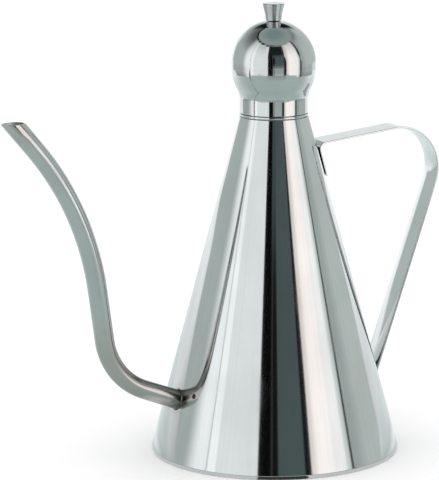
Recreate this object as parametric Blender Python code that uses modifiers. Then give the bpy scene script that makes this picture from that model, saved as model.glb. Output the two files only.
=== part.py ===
"""Stainless steel oil can: a conical body with a swan-neck spout, a strap handle and a ball-shaped lid.

The can stands on Z = 0 with its axis along +Z. The spout points along -X and the handle along +X.
The lid lifts off along +Z. All lengths are in metres.
"""

import math

import bmesh
import bpy
from mathutils import Vector

MM = 0.001

# Sheet and fits
SHEET = 0.8 * MM  # wall of the body, base, neck and lid
FIT = 0.3 * MM  # gap between neighbouring pieces

# Body
BASE_RADIUS = 51.0 * MM
CONE_HEIGHT = 140.0 * MM
FOOT_EDGE = 1.5 * MM  # outer radius of the rounded edge that the can stands on
LIP_WIDTH = 4.0 * MM  # flat lip turned in under the body
PAN_OVERLAP = 2.6 * MM  # width of the base's rim that lies on the lip
GROOVE_RADIUS = 33.0 * MM  # pressed ring that stiffens the base
GROOVE_WIDTH = 6.0 * MM
GROOVE_RISE = 1.2 * MM

# Neck
NECK_RADIUS = 13.1 * MM
NECK_RISE = 7.5 * MM  # height of the tube above its flange
NECK_DEPTH = 5.5 * MM  # length of the tube below its flange, inside the cone
FLANGE = 0.9 * MM

# Spout: three legs lead from the cone to the middle of the mouth, each so far out and so far up
SPOUT_RADIUS = 4.0 * MM
SPOUT_WALL = 0.6 * MM
SPOUT_ROOT_HEIGHT = 25.6 * MM
SPOUT_ROOT_OUT = 29.7 * MM
SPOUT_ROOT_UP = 12.05 * MM
SPOUT_RISER_OUT = 9.3 * MM
SPOUT_RISER_UP = 70.35 * MM
SPOUT_TIP_OUT = 30.7 * MM
SPOUT_TIP_UP = 37.3 * MM
ELBOW_BEND = 28.0 * MM
KNEE_BEND = 118.0 * MM
SPOUT_INSET = 2.5 * MM  # length of the tube inside the body
WELD_LEG = 1.4 * MM
WELD_TOE = 0.25 * MM  # thickness of the weld where it runs out on the tube

# Handle: its top leg leads from the cone, so far out and so far up, to the corner of the grip
HANDLE_WIDTH = 11.5 * MM
HANDLE_THICKNESS = 1.4 * MM
HANDLE_DROP = 12.8 * MM  # from the cone's top edge to where the handle leaves the cone
HANDLE_TOP_OUT = 63.5 * MM
HANDLE_TOP_UP = 6.7 * MM
HANDLE_FOOT_HEIGHT = 28.3 * MM
HANDLE_TOP_BEND = 2.2 * MM
HANDLE_CORNER_BEND = 17.8 * MM
HANDLE_FOOT_BEND = 4.0 * MM
TAB_LENGTH = 13.5 * MM
STRIP_EDGE = 0.25 * MM  # broken edge along the strip

# Lid
BALL_RADIUS = 17.35 * MM
BALL_BAND = 2.2 * MM  # straight stretch between the two half balls
BALL_RISE = 18.1 * MM  # from the lid's lower edge to the centre of the lower half ball
SKIRT_FILLET = 1.2 * MM

# Knob and the screw that holds it
KNOB_SEAT_RADIUS = 3.6 * MM  # flat on top of the ball
KNOB_FOOT_RADIUS = 3.2 * MM
KNOB_TOP_RADIUS = 4.5 * MM
KNOB_HEIGHT = 7.0 * MM
KNOB_EDGE = 0.3 * MM
KNOB_DISH = 0.4 * MM
SCREW_RADIUS = 1.5 * MM
SCREW_REACH = 4.5 * MM  # length of the screw inside the knob
SCREW_HEAD_RADIUS = 2.8 * MM
SCREW_HEAD_HEIGHT = 1.8 * MM
SLOT_WIDTH = 0.7 * MM
SLOT_DEPTH = 0.8 * MM
WASHER_RADIUS = 3.5 * MM
WASHER_THICKNESS = 0.5 * MM

# Fineness of the round shapes
BODY_STEPS = 72
LID_STEPS = 48
KNOB_STEPS = 32
SCREW_STEPS = 24
TUBE_STEPS = 6  # bevel resolution, which gives 16 sides
BEND_STEP = math.radians(6)
EDGE_STEPS = 6
BALL_STEPS = 10
FILLET_STEPS = 4
SMOOTH_ANGLE = math.radians(30)
MERGE = 0.00001

# Places that follow from the sizes
SPOUT_ROOT_LEG = Vector((SPOUT_ROOT_OUT, SPOUT_ROOT_UP))
SPOUT_RISER_LEG = Vector((SPOUT_RISER_OUT, SPOUT_RISER_UP))
SPOUT_TIP_LEG = Vector((SPOUT_TIP_OUT, SPOUT_TIP_UP))
HANDLE_TOP_LEG = Vector((HANDLE_TOP_OUT, HANDLE_TOP_UP))
LEAN = (BASE_RADIUS - NECK_RADIUS - FIT - SHEET) / CONE_HEIGHT
CONE_TOP_RADIUS = NECK_RADIUS + FIT + SHEET * math.hypot(1, LEAN)
FLANGE_BOTTOM = CONE_HEIGHT + FIT
LID_SEAT = FLANGE_BOTTOM + FLANGE + FIT
SKIRT_RADIUS = NECK_RADIUS + FIT + SHEET
TOP_CENTRE = BALL_RISE + BALL_BAND
BALL_SEAM = BALL_RISE + BALL_BAND / 2
SEAT_HEIGHT = TOP_CENTRE + math.sqrt(BALL_RADIUS**2 - KNOB_SEAT_RADIUS**2)
SCREW_HOLE_RADIUS = SCREW_RADIUS + FIT
DOME_OVER_WASHER = TOP_CENTRE + math.sqrt((BALL_RADIUS - SHEET) ** 2 - WASHER_RADIUS**2)
WASHER_TOP = min(SEAT_HEIGHT - SHEET, DOME_OVER_WASHER) - FIT
SCREW_HEAD_TOP = WASHER_TOP - WASHER_THICKNESS - FIT


def wall_angle():
    """Angle of the cone's wall below level, along the line that touches the rounded foot edge."""
    across = BASE_RADIUS - FOOT_EDGE - CONE_TOP_RADIUS
    down = CONE_HEIGHT - FOOT_EDGE
    return math.atan2(down, across) - math.asin(FOOT_EDGE / math.hypot(across, down))


WALL_ANGLE = wall_angle()


def cone_radius(height):
    """Outer radius of the cone at a height."""
    return CONE_TOP_RADIUS + (CONE_HEIGHT - height) / math.tan(WALL_ANGLE)


def level_width(thickness):
    """Width, measured level, of a layer of this thickness on the cone's wall."""
    return thickness / math.sin(WALL_ANGLE)


def clear_scene():
    """Removes whatever the startup scene holds."""
    for obj in list(bpy.data.objects):
        bpy.data.objects.remove(obj)


def new_collection(name):
    """A new collection in the scene."""
    made = bpy.data.collections.new(name)
    bpy.context.scene.collection.children.link(made)
    return made


def steel(name, colour, roughness):
    """A bare metal finish."""
    made = bpy.data.materials.new(name)
    made.use_nodes = True
    shader = made.node_tree.nodes["Principled BSDF"]
    shader.inputs["Base Color"].default_value = (*colour, 1)
    shader.inputs["Metallic"].default_value = 1
    shader.inputs["Roughness"].default_value = roughness
    made.diffuse_color = (*colour, 1)
    return made


def arc(centre, radius, start, end, steps):
    """Points along an arc about a centre, from the angle start to the angle end in degrees."""
    angles = [math.radians(start + (end - start) * step / steps) for step in range(steps + 1)]
    return [(centre[0] + radius * math.cos(a), centre[1] + radius * math.sin(a)) for a in angles]


def rounded_path(corners, bends):
    """A route through corners, with each inner corner rounded to its bend radius."""
    points = [Vector(corners[0])]
    for before, corner, after, bend in zip(corners, corners[1:], corners[2:], bends):
        middle = Vector(corner)
        back = (Vector(before) - middle).normalized()
        ahead = (Vector(after) - middle).normalized()
        turn = math.pi - back.angle(ahead)
        centre = middle + (back + ahead).normalized() * bend / math.cos(turn / 2)
        spoke = middle + back * bend * math.tan(turn / 2) - centre
        steps = max(2, math.ceil(turn / BEND_STEP))
        for step in range(steps + 1):
            angle = turn * step / steps
            points.append(centre + spoke * math.cos(angle) - back * bend * math.sin(angle))
    points.append(Vector(corners[-1]))
    return points


def place(name, mesh, finish, home):
    """Wraps a mesh as a smooth shaded object with its own finish."""
    mesh.name = name
    mesh.shade_smooth()
    mesh.set_sharp_from_angle(angle=SMOOTH_ANGLE)
    mesh.materials.clear()
    if finish:
        mesh.materials.append(finish)
    made = bpy.data.objects.new(name, mesh)
    home.objects.link(made)
    return made


def mesh_from(shape, name):
    """A mesh that holds a bmesh, which is freed."""
    mesh = bpy.data.meshes.new(name)
    shape.to_mesh(mesh)
    shape.free()
    return mesh


def settled(data, name, modifiers):
    """The mesh that a curve or a mesh gives once its modifiers, a list of (type, settings), are applied."""
    source = bpy.data.objects.new(name + "_source", data)
    bpy.context.scene.collection.objects.link(source)
    for kind, settings in modifiers:
        modifier = source.modifiers.new(kind.title(), kind)
        for setting, value in settings.items():
            setattr(modifier, setting, value)
    bpy.context.view_layer.update()
    graph = bpy.context.evaluated_depsgraph_get()
    mesh = bpy.data.meshes.new_from_object(source.evaluated_get(graph))
    bpy.data.objects.remove(source)
    return mesh


def turned(name, profile, steps, finish, home, closed=False, wall=0.0):
    """A turned piece from its profile of (radius, height), which runs down its outer side.

    A profile with a wall is the outer face of a sheet of that thickness.
    """
    outline = bmesh.new()
    points = [outline.verts.new((radius, 0, height)) for radius, height in profile]
    for first, second in zip(points, points[1:]):
        outline.edges.new((first, second))
    if closed:
        outline.edges.new((points[-1], points[0]))
    screw = {
        "steps": steps,
        "render_steps": steps,
        "use_merge_vertices": True,
        "merge_threshold": MERGE,
    }
    modifiers = [("SCREW", screw)]
    if wall:
        modifiers.append(("SOLIDIFY", {"thickness": wall, "offset": -1, "use_even_offset": True}))
    mesh = settled(mesh_from(outline, name), name, modifiers)
    return place(name, mesh, finish, home)


def bent_tube(name, points, radius, wall, finish, home):
    """A tube with open ends that follows points, of this outer radius."""
    data = bpy.data.curves.new(name, "CURVE")
    data.dimensions = "3D"
    data.fill_mode = "FULL"
    data.bevel_depth = radius
    data.bevel_resolution = TUBE_STEPS
    spline = data.splines.new("POLY")
    spline.points.add(len(points) - 1)
    for target, point in zip(spline.points, points):
        target.co = (*point, 1)
    outside = settled(data, name, [])
    sheet = {"thickness": wall, "offset": -1, "use_even_offset": True}
    return place(name, settled(outside, name, [("SOLIDIFY", sheet)]), finish, home)


def round_cutter(name, low_radius, high_radius, length, home):
    """A closed cylinder or cone that rises from its own origin along Z."""
    shape = bmesh.new()
    bmesh.ops.create_cone(
        shape,
        cap_ends=True,
        segments=BODY_STEPS,
        radius1=low_radius,
        radius2=high_radius,
        depth=length,
    )
    bmesh.ops.translate(shape, vec=(0, 0, length / 2), verts=shape.verts)
    return place(name, mesh_from(shape, name), None, home)


def block_cutter(name, size, home):
    """A closed box, centred on its own origin."""
    shape = bmesh.new()
    bmesh.ops.create_cube(shape, size=1)
    bmesh.ops.scale(shape, vec=size, verts=shape.verts)
    return place(name, mesh_from(shape, name), None, home)


def cut(target, cutter):
    """Takes the cutter out of the target and keeps the cutter as a hidden guide."""
    cutter.hide_render = True
    cutter.display_type = "WIRE"
    boolean = target.modifiers.new(cutter.name, "BOOLEAN")
    boolean.operation = "DIFFERENCE"
    boolean.solver = "EXACT"
    boolean.object = cutter


def make_body(finish, home):
    """The conical sheet with its rounded foot edge and the flat lip turned in under it."""
    foot = (BASE_RADIUS - FOOT_EDGE, FOOT_EDGE)
    outline = [(CONE_TOP_RADIUS, CONE_HEIGHT)]
    outline += arc(foot, FOOT_EDGE, 90 - math.degrees(WALL_ANGLE), -90, EDGE_STEPS)
    outline += [(foot[0] - LIP_WIDTH, 0)]
    return turned("body_cone", outline, BODY_STEPS, finish, home, wall=SHEET)


def make_base(finish, home):
    """The pressed bottom: its rim lies on the lip, and its middle comes down level with the foot."""
    rim_height = SHEET + FIT
    step = BASE_RADIUS - FOOT_EDGE - LIP_WIDTH - FIT
    half = GROOVE_WIDTH / 2
    outline = [
        (step + FIT + PAN_OVERLAP, rim_height),
        (step, rim_height),
        (step, 0),
        (GROOVE_RADIUS + half, 0),
        (GROOVE_RADIUS + half / 3, GROOVE_RISE),
        (GROOVE_RADIUS - half / 3, GROOVE_RISE),
        (GROOVE_RADIUS - half, 0),
        (0, 0),
    ]
    return turned("base_pan", outline, BODY_STEPS, finish, home, wall=SHEET)


def make_neck(finish, home):
    """The collar on the cone's top: a flange, the tube that the lid slides over, and its root."""
    bore = NECK_RADIUS - SHEET
    top = FLANGE_BOTTOM + FLANGE + NECK_RISE
    edge = SHEET / 3
    profile = [
        (bore, top),
        (NECK_RADIUS - edge, top),
        (NECK_RADIUS, top - edge),
        (NECK_RADIUS, FLANGE_BOTTOM + FLANGE),
        (CONE_TOP_RADIUS, FLANGE_BOTTOM + FLANGE),
        (CONE_TOP_RADIUS, FLANGE_BOTTOM),
        (NECK_RADIUS, FLANGE_BOTTOM),
        (NECK_RADIUS, FLANGE_BOTTOM - NECK_DEPTH),
        (bore, FLANGE_BOTTOM - NECK_DEPTH),
    ]
    return turned("neck_collar", profile, LID_STEPS, finish, home, closed=True)


def spout_root():
    """Where the spout's axis leaves the cone, and the way it heads there, as (outward, upward)."""
    root = Vector((cone_radius(SPOUT_ROOT_HEIGHT), SPOUT_ROOT_HEIGHT))
    return root, SPOUT_ROOT_LEG.normalized()


def spout_mouth():
    """The middle of the spout's mouth, as (outward, upward)."""
    return spout_root()[0] + SPOUT_ROOT_LEG + SPOUT_RISER_LEG + SPOUT_TIP_LEG


def spout_route(lead, overrun):
    """The spout's axis in space, from lead inside the cone to overrun past the middle of its mouth."""
    root, heading = spout_root()
    elbow = root + SPOUT_ROOT_LEG
    knee = elbow + SPOUT_RISER_LEG
    end = spout_mouth() + SPOUT_TIP_LEG.normalized() * overrun
    flat = rounded_path([root - heading * lead, elbow, knee, end], [ELBOW_BEND, KNEE_BEND])
    return [(-reach, 0, height) for reach, height in flat]


def at_spout_root(obj, offset):
    """Puts an object made along Z on the spout's axis, offset along it from the cone's wall."""
    root, heading = spout_root()
    spot = root + heading * offset
    obj.location = (-spot.x, 0, spot.y)
    obj.rotation_euler = (0, -math.atan2(heading.x, heading.y), 0)


def make_spout(body, finish, home, tools):
    """The spout's tube with its level mouth, and the hole for it in the body."""
    past = 3 * SPOUT_RADIUS
    route = spout_route(SPOUT_INSET, past)
    spout = bent_tube("spout_tube", route, SPOUT_RADIUS, SPOUT_WALL, finish, home)
    level = block_cutter("spout_mouth_level", (6 * past, 6 * past, 2 * past), tools)
    mouth = spout_mouth()
    level.location = (-mouth.x, 0, mouth.y + past)
    cut(spout, level)
    around = SPOUT_RADIUS + FIT
    hole = round_cutter("spout_hole", around, around, 2 * past, tools)
    at_spout_root(hole, -past)
    cut(body, hole)
    return spout


def make_weld(finish, home, tools):
    """The weld bead round the spout's root, laid on the cone."""
    inner = SPOUT_RADIUS + FIT
    buried = 2 * WELD_LEG
    profile = [(inner, WELD_LEG), (inner + WELD_TOE, WELD_LEG)]
    hollow = (inner + WELD_LEG, WELD_LEG)
    profile += arc(hollow, WELD_LEG - WELD_TOE, 180, 270, FILLET_STEPS)[1:-1]
    profile += [(inner + WELD_LEG, WELD_TOE), (inner + WELD_LEG, -buried), (inner, -buried)]
    bead = turned("spout_weld", profile, LID_STEPS, finish, home, closed=True)
    at_spout_root(bead, FIT)
    top = 2 * SPOUT_ROOT_HEIGHT
    clearance = round_cutter(
        "body_clearance",
        cone_radius(0) + level_width(FIT),
        cone_radius(top) + level_width(FIT),
        top,
        tools,
    )
    cut(bead, clearance)
    return bead


def make_handle(finish, home):
    """The strip handle with a tab at each end that lies along the cone."""
    gap = level_width(FIT + HANDLE_THICKNESS / 2)
    heights = (CONE_HEIGHT - HANDLE_DROP, HANDLE_FOOT_HEIGHT)
    top, foot = [Vector((cone_radius(height) + gap, height)) for height in heights]
    tab = Vector((math.cos(WALL_ANGLE), -math.sin(WALL_ANGLE))) * TAB_LENGTH
    route = rounded_path(
        [top + tab, top, top + HANDLE_TOP_LEG, foot, foot + tab],
        [HANDLE_TOP_BEND, HANDLE_CORNER_BEND, HANDLE_FOOT_BEND],
    )
    strip = bmesh.new()
    half = HANDLE_WIDTH / 2
    rows = [
        [strip.verts.new((reach, side, height)) for side in (-half, half)] for reach, height in route
    ]
    for row, after in zip(rows, rows[1:]):
        strip.faces.new((row[0], row[1], after[1], after[0]))
    sheet = {"thickness": HANDLE_THICKNESS, "offset": 0, "use_even_offset": True}
    edge = {"width": STRIP_EDGE, "segments": 1, "angle_limit": math.radians(60)}
    mesh = settled(
        mesh_from(strip, "handle_strap"), "handle_strap", [("SOLIDIFY", sheet), ("BEVEL", edge)]
    )
    return place("handle_strap", mesh, finish, home)


def make_lid_skirt(finish, home):
    """The lower half ball, drawn in by a fillet to the sleeve that slides over the neck."""
    across = SKIRT_RADIUS + SKIRT_FILLET
    drop = math.sqrt((BALL_RADIUS + SKIRT_FILLET) ** 2 - across**2)
    meet = math.degrees(math.atan2(drop, across))
    outline = [(BALL_RADIUS, BALL_SEAM - FIT / 2)]
    outline += arc((0, BALL_RISE), BALL_RADIUS, 0, -meet, BALL_STEPS)
    outline += arc((across, BALL_RISE - drop), SKIRT_FILLET, 180 - meet, 180, FILLET_STEPS)[1:]
    outline += [(SKIRT_RADIUS, 0)]
    return turned("lid_skirt", outline, LID_STEPS, finish, home, wall=SHEET)


def make_lid_dome(finish, home):
    """The upper half ball with its flat seat and the screw hole for the knob."""
    seat = math.degrees(math.acos(KNOB_SEAT_RADIUS / BALL_RADIUS))
    outline = [(SCREW_HOLE_RADIUS, SEAT_HEIGHT)]
    outline += arc((0, TOP_CENTRE), BALL_RADIUS, seat, 0, BALL_STEPS)
    outline += [(BALL_RADIUS, BALL_SEAM + FIT / 2)]
    return turned("lid_dome", outline, LID_STEPS, finish, home, wall=SHEET)


def make_knob(finish, home):
    """The conical knob, wider at the top, with a shallow dish and a blind hole for its screw."""
    foot = SEAT_HEIGHT + FIT
    top = foot + KNOB_HEIGHT
    roof = foot + SCREW_REACH + FIT
    profile = [
        (0, top - KNOB_DISH),
        (KNOB_TOP_RADIUS / 2, top - KNOB_DISH * 3 / 4),
        (KNOB_TOP_RADIUS - 2 * KNOB_EDGE, top),
        (KNOB_TOP_RADIUS - KNOB_EDGE / 2, top - KNOB_EDGE / 4),
        (KNOB_TOP_RADIUS, top - KNOB_EDGE),
        (KNOB_FOOT_RADIUS, foot + KNOB_EDGE),
        (KNOB_FOOT_RADIUS - KNOB_EDGE / 2, foot),
        (SCREW_HOLE_RADIUS, foot),
        (SCREW_HOLE_RADIUS, roof),
        (0, roof),
    ]
    return turned("knob", profile, KNOB_STEPS, finish, home)


def make_washer(finish, home):
    """The flat washer under the screw's head."""
    profile = [
        (SCREW_HOLE_RADIUS, WASHER_TOP),
        (WASHER_RADIUS, WASHER_TOP),
        (WASHER_RADIUS, WASHER_TOP - WASHER_THICKNESS),
        (SCREW_HOLE_RADIUS, WASHER_TOP - WASHER_THICKNESS),
    ]
    return turned("knob_washer", profile, SCREW_STEPS, finish, home, closed=True)


def make_screw(finish, home, tools):
    """The slotted pan head screw, driven upward from inside the lid into the knob."""
    tip = SEAT_HEIGHT + FIT + SCREW_REACH
    bottom = SCREW_HEAD_TOP - SCREW_HEAD_HEIGHT
    point = SCREW_RADIUS / 4
    crown = SCREW_HEAD_HEIGHT / 3
    profile = [
        (0, tip),
        (SCREW_RADIUS - point, tip),
        (SCREW_RADIUS, tip - point),
        (SCREW_RADIUS, SCREW_HEAD_TOP),
        (SCREW_HEAD_RADIUS, SCREW_HEAD_TOP),
        (SCREW_HEAD_RADIUS, bottom + crown),
        (SCREW_HEAD_RADIUS - crown, bottom),
        (0, bottom),
    ]
    screw = turned("knob_screw", profile, SCREW_STEPS, finish, home)
    size = (3 * SCREW_HEAD_RADIUS, SLOT_WIDTH, 2 * SLOT_DEPTH)
    slot = block_cutter("screw_slot", size, tools)
    slot.location = (0, 0, bottom)
    cut(screw, slot)
    return screw


def axis_point(name, height, parent, home):
    """An empty on the can's axis that carries the pieces of one body."""
    made = bpy.data.objects.new(name, None)
    made.location = (0, 0, height)
    made.empty_display_size = 10 * MM
    made.parent = parent
    home.objects.link(made)
    return made


def main():
    """Builds the can and its lid."""
    clear_scene()
    home = new_collection("oil_can")
    tools = new_collection("cutters")
    tools.hide_render = True

    polished = steel("polished_steel", (0.62, 0.64, 0.63), 0.08)
    spun = steel("spun_steel", (0.58, 0.60, 0.59), 0.12)
    drawn = steel("drawn_tube_steel", (0.52, 0.56, 0.55), 0.16)
    strip = steel("strip_steel", (0.55, 0.57, 0.57), 0.22)
    pressed = steel("pressed_steel", (0.50, 0.52, 0.52), 0.30)
    weld = steel("weld_steel", (0.42, 0.42, 0.40), 0.38)
    machined = steel("machined_steel", (0.60, 0.61, 0.61), 0.18)
    fastener = steel("fastener_steel", (0.45, 0.46, 0.47), 0.30)

    can = axis_point("can", 0, None, home)
    body = make_body(spun, home)
    can_pieces = [
        body,
        make_base(pressed, home),
        make_neck(machined, home),
        make_spout(body, drawn, home, tools),
        make_weld(weld, home, tools),
        make_handle(strip, home),
    ]
    for piece in can_pieces + list(tools.objects):
        piece.parent = can

    lid = axis_point("lid", LID_SEAT, can, home)
    lid_pieces = [
        make_lid_skirt(polished, home),
        make_lid_dome(polished, home),
        make_knob(machined, home),
        make_washer(fastener, home),
        make_screw(fastener, home, tools),
    ]
    for piece in lid_pieces:
        piece.parent = lid
    bpy.data.objects["screw_slot"].parent = lid


main()
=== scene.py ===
"""Looks of a polished stainless steel oil can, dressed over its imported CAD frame."""

import logging
import math
from collections.abc import Callable, Sequence
from dataclasses import dataclass, field
from enum import Enum

import bmesh
import bpy
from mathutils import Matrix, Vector


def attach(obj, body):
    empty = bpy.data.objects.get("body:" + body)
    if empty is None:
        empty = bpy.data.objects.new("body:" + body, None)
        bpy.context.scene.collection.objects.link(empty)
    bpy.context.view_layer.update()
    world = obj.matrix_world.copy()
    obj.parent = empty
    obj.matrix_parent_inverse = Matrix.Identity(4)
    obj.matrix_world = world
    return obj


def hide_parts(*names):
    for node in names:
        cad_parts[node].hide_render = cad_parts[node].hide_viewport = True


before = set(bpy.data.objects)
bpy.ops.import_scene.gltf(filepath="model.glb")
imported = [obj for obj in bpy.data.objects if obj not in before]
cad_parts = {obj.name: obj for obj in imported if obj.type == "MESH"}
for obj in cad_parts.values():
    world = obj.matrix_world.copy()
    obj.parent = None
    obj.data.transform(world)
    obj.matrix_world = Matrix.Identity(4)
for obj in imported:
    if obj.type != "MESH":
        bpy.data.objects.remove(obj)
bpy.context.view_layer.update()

log = logging.getLogger("oil_can")

MM = 0.001
TIP = 0.0001 * MM  # rings smaller than this close to a point
SHARP = math.radians(32)  # edges that turn further than this stay sharp
Point = tuple[float, float]
Colour = tuple[float, float, float]


def mm(*lengths: float) -> tuple[float, ...]:
    """Lengths in millimetres, in metres."""
    return tuple(length * MM for length in lengths)


# Shader maths


class Wire:
    """A number, colour or vector on its way through a node tree."""

    def __init__(self, net: "Net", socket: "bpy.types.NodeSocket | None") -> None:
        """Keeps the tree and the socket that gives the value, which an output node lacks."""
        self.net = net
        self.socket = socket

    def __add__(self, other: "Value") -> "Wire":
        """Sum of two numbers."""
        return self.net.math("ADD", self, other)

    def __sub__(self, other: "Value") -> "Wire":
        """Difference of two numbers."""
        return self.net.math("SUBTRACT", self, other)

    def __rsub__(self, other: "Value") -> "Wire":
        """Difference, where the wire is taken away."""
        return self.net.math("SUBTRACT", other, self)

    def __mul__(self, other: "Value") -> "Wire":
        """Product of two numbers."""
        return self.net.math("MULTIPLY", self, other)

    def __truediv__(self, other: "Value") -> "Wire":
        """Quotient of two numbers."""
        return self.net.math("DIVIDE", self, other)

    def __abs__(self) -> "Wire":
        """Size of the number without its sign."""
        return self.net.math("ABSOLUTE", self)

    __radd__ = __add__
    __rmul__ = __mul__


Value = Wire | float | tuple[float, ...]


class Net:
    """A node tree that is written as expressions."""

    def __init__(self, tree: bpy.types.NodeTree) -> None:
        """Empties the tree of a material or of the world, and keeps it."""
        self.tree = tree
        tree.nodes.clear()

    def add(
        self,
        kind: str,
        settings: dict[str, object] | None = None,
        inputs: dict[str | int, Value] | None = None,
        output: str | int = 0,
    ) -> Wire:
        """Adds a node.

        Args:
            kind: Type name of the node.
            settings: Attributes of the node, which are set first.
            inputs: A value or a wire for each socket, by name or place.
            output: Name or place of the output to carry on from.

        Returns:
            The wire from that output.
        """
        node = self.tree.nodes.new(kind)
        for name, setting in (settings or {}).items():
            setattr(node, name, setting)
        for name, value in (inputs or {}).items():
            socket = node.inputs[name]
            if isinstance(value, Wire):
                self.tree.links.new(value.socket, socket)
            elif isinstance(value, tuple) and len(value) < len(socket.default_value):
                socket.default_value = (*value, 1.0)
            else:
                socket.default_value = value
        return Wire(self, node.outputs[output] if node.outputs else None)

    def math(self, operation: str, *values: Value) -> Wire:
        """Puts numbers through a Math node."""
        return self.add("ShaderNodeMath", {"operation": operation}, dict(enumerate(values)))

    def vector(self, operation: str, *values: Value, output: str | int = 0) -> Wire:
        """Puts vectors through a Vector Math node."""
        settings = {"operation": operation}
        return self.add("ShaderNodeVectorMath", settings, dict(enumerate(values)), output)

    def mix(self, factor: Value, low: Value, high: Value) -> Wire:
        """Blends two colours, from low at factor 0 to high at factor 1."""
        return self.add("ShaderNodeMix", {"data_type": "RGBA"}, {0: factor, 6: low, 7: high}, 2)

    def ramp(self, value: Value, start: Value, end: Value) -> Wire:
        """Smooth rise from 0 at start to 1 at end, or fall where start is the higher."""
        inputs = {"Value": value, "From Min": start, "From Max": end}
        return self.add("ShaderNodeMapRange", {"interpolation_type": "SMOOTHSTEP"}, inputs)

    def noise(self, place: Value, detail: float = 2.0, roughness: float = 0.5) -> Wire:
        """Noise from 0 to 1 whose cells are one unit of place wide."""
        inputs = {"Vector": place, "Scale": 1.0, "Detail": detail, "Roughness": roughness}
        return self.add("ShaderNodeTexNoise", None, inputs)

    def along(self, place: Value, way: Vector) -> Wire:
        """How far a place lies in a direction."""
        return self.vector("DOT_PRODUCT", place, tuple(way), output="Value")

    def ray(self, kind: str) -> Wire:
        """Light Path's answer to a question such as Is Camera Ray, as 1 or 0."""
        return self.add("ShaderNodeLightPath", output=kind)


def blank(name: str) -> tuple[bpy.types.Material, Net]:
    """Makes a material.

    Args:
        name: Its name.

    Returns:
        The material and its emptied tree.
    """
    made = bpy.data.materials.new(name)
    made.use_nodes = True
    return made, Net(made.node_tree)


# Finishes

BLOTCHES = (900.0, 900.0, 900.0)  # cells to a metre in the ragged edge of a heat tint
SMEARS = (45.0, 45.0, 30.0)  # cells to a metre in the smears of a wiped surface
CLOUDS = (14.0, 14.0, 14.0)  # cells to a metre in the floor's slight unevenness


class Grain(Enum):
    """The way that the polishing marks run, as the marks to a metre along each axis."""

    ROUND = (60.0, 60.0, 5200.0)
    STRIP = (90.0, 5200.0, 90.0)
    FREE = (1600.0, 1600.0, 1600.0)


class OxideAndShade(Enum):
    """Colours that welding leaves on the steel, and a painted shadow for a narrow gap."""

    STRAW = (0.40, 0.31, 0.23)
    PALE_STRAW = (0.56, 0.49, 0.45)
    DUN = (0.58, 0.49, 0.44)
    BROWN = (0.34, 0.29, 0.25)
    BURNT = (0.07, 0.065, 0.06)
    SOOT = (0.05, 0.048, 0.045)
    SLAG = (0.04, 0.038, 0.036)
    SPATTER = (0.02, 0.02, 0.02)
    SHADOW = (0.015, 0.015, 0.015)


@dataclass(frozen=True)
class HeatTintAndShade:
    """A stain round a joint, with a ragged edge; the same mark also paints shade into a narrow gap.
    """

    centre: Sequence[float]
    reach: float
    colour: OxideAndShade = OxideAndShade.STRAW
    strength: float = 0.6
    ragged: float = 0.7

    def over(self, net: Net, place: Wire, base: Wire) -> Wire:
        """Lays the tint over a base colour.

        Args:
            net: The material's tree.
            place: Position on the piece.
            base: Colour under the tint.

        Returns:
            The tinted colour.
        """
        away = net.vector("DISTANCE", place, self.centre, output="Value")
        ragged = net.noise(net.vector("MULTIPLY", place, BLOTCHES), 3.0)
        edge = away + (ragged - 0.5) * (self.reach * self.ragged)
        inner = self.reach * (0.95 - self.ragged)
        return net.mix(net.ramp(edge, self.reach, inner) * self.strength, base, self.colour.value)


@dataclass(frozen=True)
class Steel:
    """Bare stainless steel in one state of polish."""

    colour: Colour = (0.72, 0.725, 0.72)
    roughness: float = 0.07
    grain: Grain = Grain.FREE
    grain_depth: float = 0.00006 * MM
    wave_width: float = 16 * MM
    wave_depth: float = 0.006 * MM
    drag: float = 0.0
    tints: tuple[HeatTintAndShade, ...] = ()

    def material(self, name: str) -> bpy.types.Material:
        """Builds the finish.

        Args:
            name: Name of the material.

        Returns:
            The material, with marks, smears and slight waves in the sheet.
        """
        made, net = blank(name)
        place = net.add("ShaderNodeTexCoord", output="Object")
        marks = net.noise(net.vector("MULTIPLY", place, self.grain.value), 3.0, 0.6)
        smears = net.noise(net.vector("MULTIPLY", place, SMEARS), 3.0, 0.55)
        wave = net.noise(net.vector("DIVIDE", place, (self.wave_width,) * 3), 1.0, 0.4)
        height = marks * self.grain_depth + wave * self.wave_depth
        bump = net.add("ShaderNodeBump", None, {"Strength": 1.0, "Distance": 1.0, "Height": height})
        swing = self.roughness * 0.6
        rough = self.roughness + (marks - 0.5) * swing + net.ramp(smears, 0.5, 0.75) * swing
        dull = tuple(channel * 0.93 for channel in self.colour)
        colour = net.mix(net.ramp(smears, 0.35, 0.7), self.colour, dull)
        for tint in self.tints:
            colour = tint.over(net, place, colour)
        shader = net.add(
            "ShaderNodeBsdfPrincipled",
            None,
            {
                "Base Color": colour,
                "Metallic": 1.0,
                "Roughness": rough,
                "Normal": bump,
                "Anisotropic": self.drag,
                "Anisotropic Rotation": 0.25,
            },
        )
        net.add("ShaderNodeOutputMaterial", None, {"Surface": shader})
        return made


# Mesh building


def arc(centre: Point, radius: float, start: float, end: float, step: float = 3.0) -> list[Point]:
    """Points along an arc.

    Args:
        centre: Centre of the arc.
        radius: Its radius.
        start: Angle of the first point, in degrees.
        end: Angle of the last point, in degrees.
        step: Widest angle between neighbouring points.

    Returns:
        The points, with both ends.
    """
    count = max(1, math.ceil(abs(end - start) / step))
    angles = [math.radians(start + (end - start) * i / count) for i in range(count + 1)]
    return [(centre[0] + radius * math.cos(a), centre[1] + radius * math.sin(a)) for a in angles]


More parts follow.
